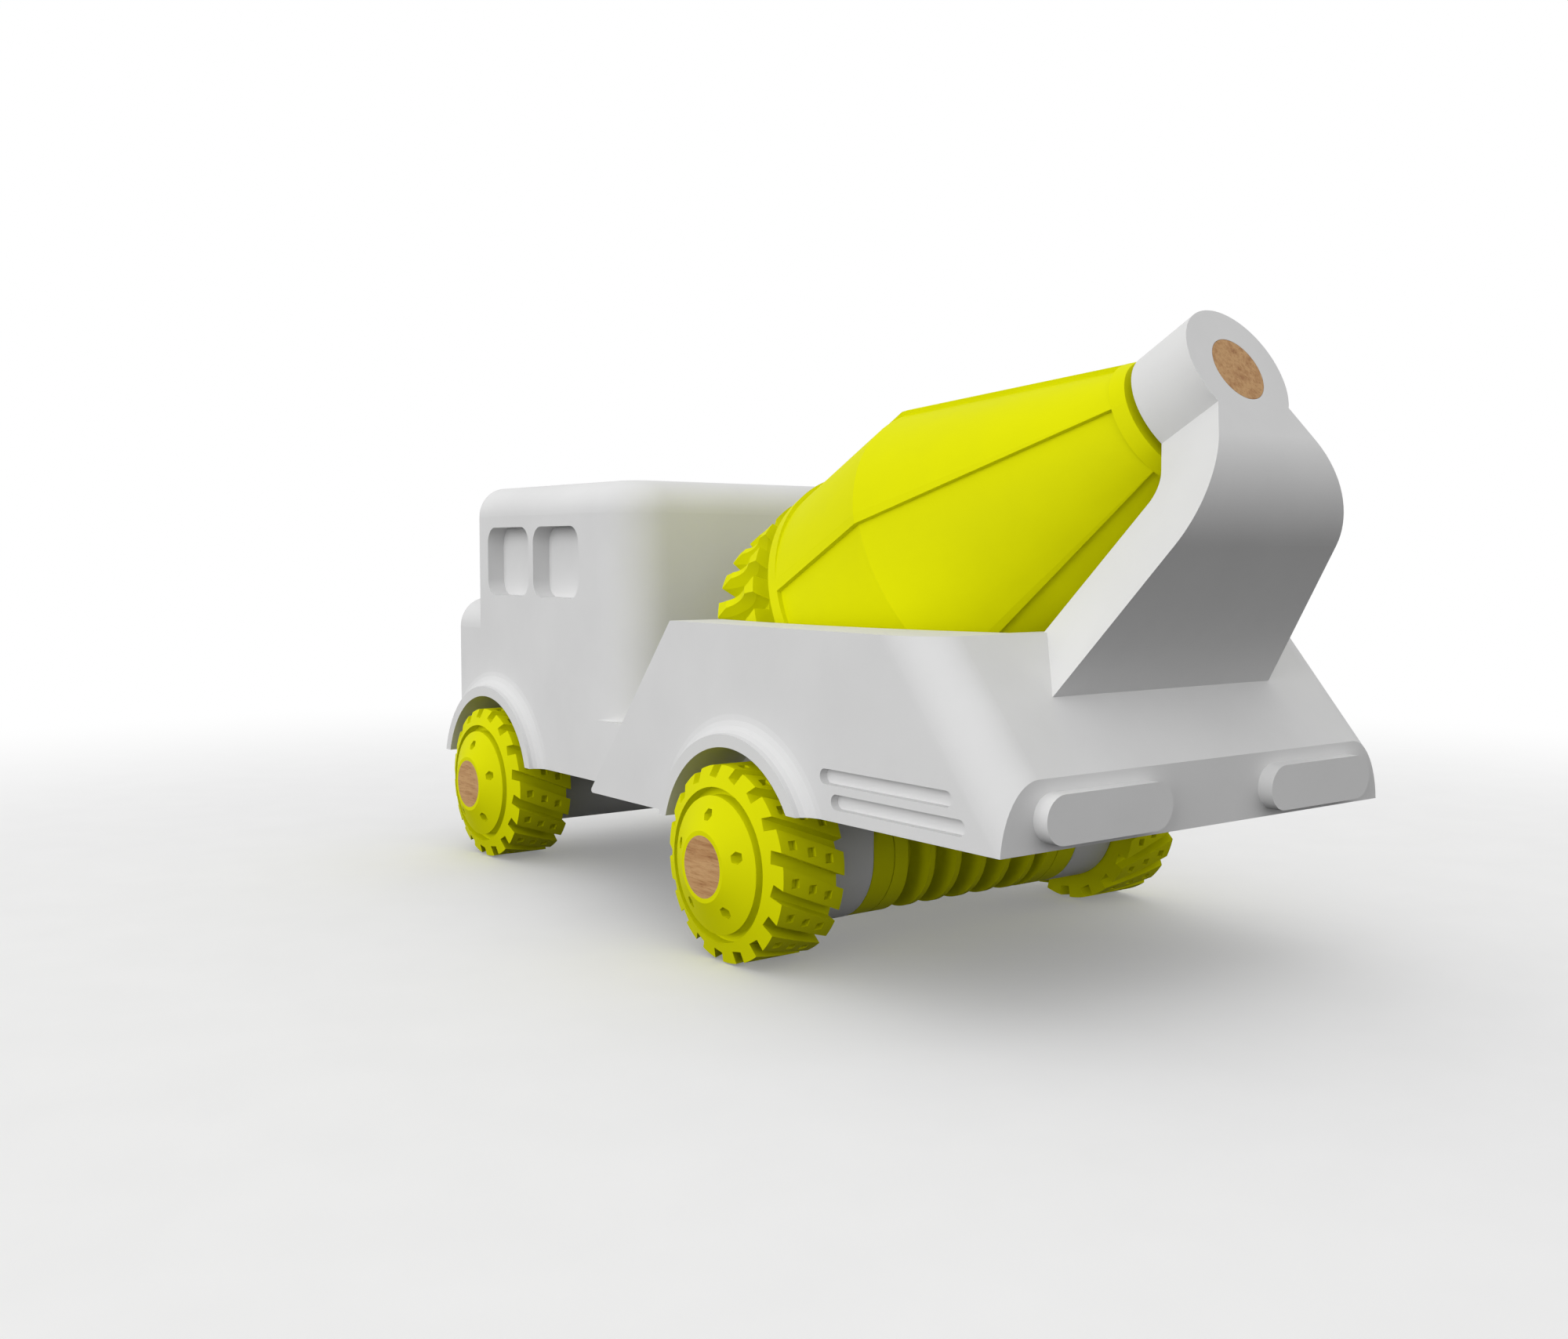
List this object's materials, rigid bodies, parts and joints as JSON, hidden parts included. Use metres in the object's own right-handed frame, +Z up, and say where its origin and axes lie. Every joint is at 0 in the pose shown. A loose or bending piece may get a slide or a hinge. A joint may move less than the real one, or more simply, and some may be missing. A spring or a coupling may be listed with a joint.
{
  "type": "toy cement mixer truck",
  "caption": "Toy cement mixer truck with a tilted drum that a worm on the rear axle turns as the truck rolls.",
  "frame": {"origin": "on the ground under the middle of the truck's bounding box", "axes": "+X to the truck's left, +Y to its tail, +Z up"},
  "size_m": [0.1204, 0.2294, 0.1206],
  "materials": {
    "white_plastic": "smooth matte white plastic",
    "yellow_plastic": "smooth matte bright yellow plastic",
    "wood": "bare hardwood dowel with fine grain"
  },
  "bodies": {
    "truck_body": {"cab": "white_plastic", "chassis": "white_plastic", "front_axle_block": "white_plastic", "mixer_bed": "white_plastic", "rear_bearing_left": "white_plastic", "rear_bearing_right": "white_plastic", "drum_arm": "white_plastic", "drum_nose_block": "white_plastic", "tail_light_left": "white_plastic", "tail_light_right": "white_plastic", "headlight_left": "white_plastic", "headlight_right": "white_plastic"},
    "mixer_drum": {"drum_shell": "yellow_plastic", "drum_gear": "yellow_plastic", "drum_spacer": "yellow_plastic", "drum_axle": "wood"},
    "rear_wheel_set": {"rear_axle": "wood", "worm": "yellow_plastic", "worm_collar_left": "yellow_plastic", "worm_collar_right": "yellow_plastic", "tyre_rear_left": "yellow_plastic", "tyre_rear_right": "yellow_plastic", "hub_rear_left": "yellow_plastic", "hub_rear_right": "yellow_plastic"},
    "front_wheel_set": {"front_axle": "wood", "tyre_front_left": "yellow_plastic", "tyre_front_right": "yellow_plastic", "hub_front_left": "yellow_plastic", "hub_front_right": "yellow_plastic"}
  },
  "joints": [
    {"name": "drum_spin", "type": "hinge", "parent": "truck_body", "child": "mixer_drum", "pos_m": [0, 0.10617, 0.11005], "axis": [0, 0.8761, 0.4822], "continuous": true},
    {"name": "rear_axle_spin", "type": "hinge", "parent": "truck_body", "child": "rear_wheel_set", "pos_m": [0, 0.032, 0.0191], "axis": [1, 0, 0], "continuous": true},
    {"name": "front_axle_spin", "type": "hinge", "parent": "truck_body", "child": "front_wheel_set", "pos_m": [0, -0.0906, 0.0191], "axis": [1, 0, 0], "continuous": true}
  ],
  "couplings": [
    {"joint": "rear_axle_spin", "follows": "drum_spin", "ratio": 28}
  ]
}
